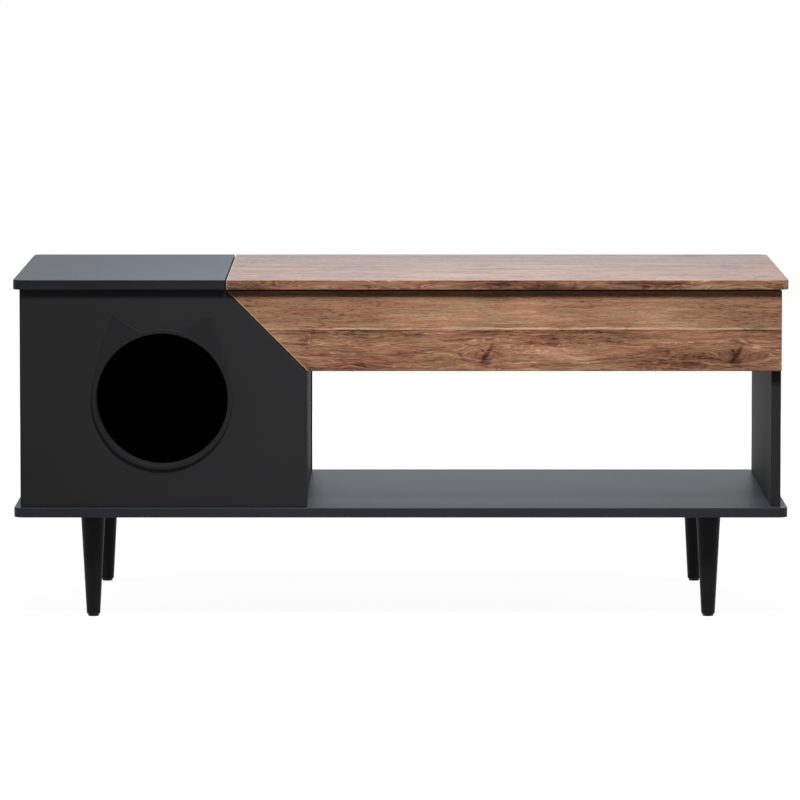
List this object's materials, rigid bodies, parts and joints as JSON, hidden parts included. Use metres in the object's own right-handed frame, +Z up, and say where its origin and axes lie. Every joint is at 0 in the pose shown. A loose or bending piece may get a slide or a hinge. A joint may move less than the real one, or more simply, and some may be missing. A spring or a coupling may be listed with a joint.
{
  "type": "coffee table with cat house",
  "caption": "Long low coffee table on round tapered legs, with an enclosed cat house at one end, an open shelf bay and a lift-up top over a storage box.",
  "frame": {"origin": "on the floor under the middle of the table", "axes": "+X along the table away from the cat house, -Y the front with the cat entrance, +Z up"},
  "size_m": [1.2, 0.6, 0.53],
  "materials": {
    "charcoal_laminate": "satin",
    "walnut_laminate": "satin",
    "black_lacquer": "satin",
    "black_plastic": "satin",
    "foot_plastic": "matte",
    "beech": "matte",
    "bumper_rubber": "matte",
    "zinc_steel": "satin",
    "pivot_steel": "satin",
    "coated_steel": "satin",
    "spring_steel": "satin"
  },
  "bodies": {
    "carcass": {"house_top": "charcoal_laminate", "house_front_panel": "charcoal_laminate", "house_back_panel": "charcoal_laminate", "house_left_panel": "charcoal_laminate", "house_partition": "charcoal_laminate", "house_roof_rail": "charcoal_laminate", "house_roof_strip": "charcoal_laminate", "right_side_panel": "charcoal_laminate", "bottom_shelf": "charcoal_laminate", "compartment_floor": "charcoal_laminate", "front_apron": "walnut_laminate", "rear_apron": "walnut_laminate", "front_left_leg": "black_lacquer", "front_right_leg": "black_lacquer", "rear_left_leg": "black_lacquer", "rear_right_leg": "black_lacquer", "entrance_trim": "black_plastic", "entrance_lock_ring": "black_plastic", "foot_glides": "foot_plastic", "leg_inserts": "zinc_steel", "leg_hanger_bolts": "zinc_steel", "shelf_screws": "zinc_steel", "cam_discs": "zinc_steel", "cam_bolts": "zinc_steel", "wood_dowels": "beech", "angle_brackets": "zinc_steel", "angle_bracket_screws": "zinc_steel", "base_bracket_screws": "zinc_steel", "left_base_bracket": "coated_steel", "right_base_bracket": "coated_steel", "arm_stop_studs": "pivot_steel", "spring_anchor_studs": "pivot_steel", "front_base_pivots": "pivot_steel", "rear_base_pivots": "pivot_steel", "left_torsion_spring": "spring_steel", "right_torsion_spring": "spring_steel", "lid_bumpers": "bumper_rubber"},
    "front_arms": {"left_front_arm": "coated_steel", "right_front_arm": "coated_steel"},
    "rear_arms": {"left_rear_arm": "coated_steel", "right_rear_arm": "coated_steel"},
    "lift_top": {"lift_top_panel": "walnut_laminate", "left_top_bracket": "coated_steel", "right_top_bracket": "coated_steel", "top_bracket_screws": "zinc_steel", "front_top_pivots": "pivot_steel", "rear_top_pivots": "pivot_steel"}
  },
  "joints": [
    {"name": "lift_fold", "type": "hinge", "parent": "carcass", "child": "front_arms", "pos_m": [0, -0.17, 0.465], "axis": [1, 0, 0], "range_deg": [0, 117], "deforming": ["left_torsion_spring", "right_torsion_spring"]},
    {"name": "top_level", "type": "hinge", "parent": "front_arms", "child": "lift_top", "pos_m": [0, 0.02805, 0.49284], "axis": [1, 0, 0], "range_deg": [-117, 0]},
    {"name": "rear_arm_fold", "type": "hinge", "parent": "carcass", "child": "rear_arms", "pos_m": [0, -0.07603, 0.4308], "axis": [1, 0, 0], "range_deg": [0, 117]}
  ],
  "couplings": [
    {"joint": "top_level", "follows": "lift_fold", "ratio": -1},
    {"joint": "rear_arm_fold", "follows": "lift_fold", "ratio": 1}
  ]
}
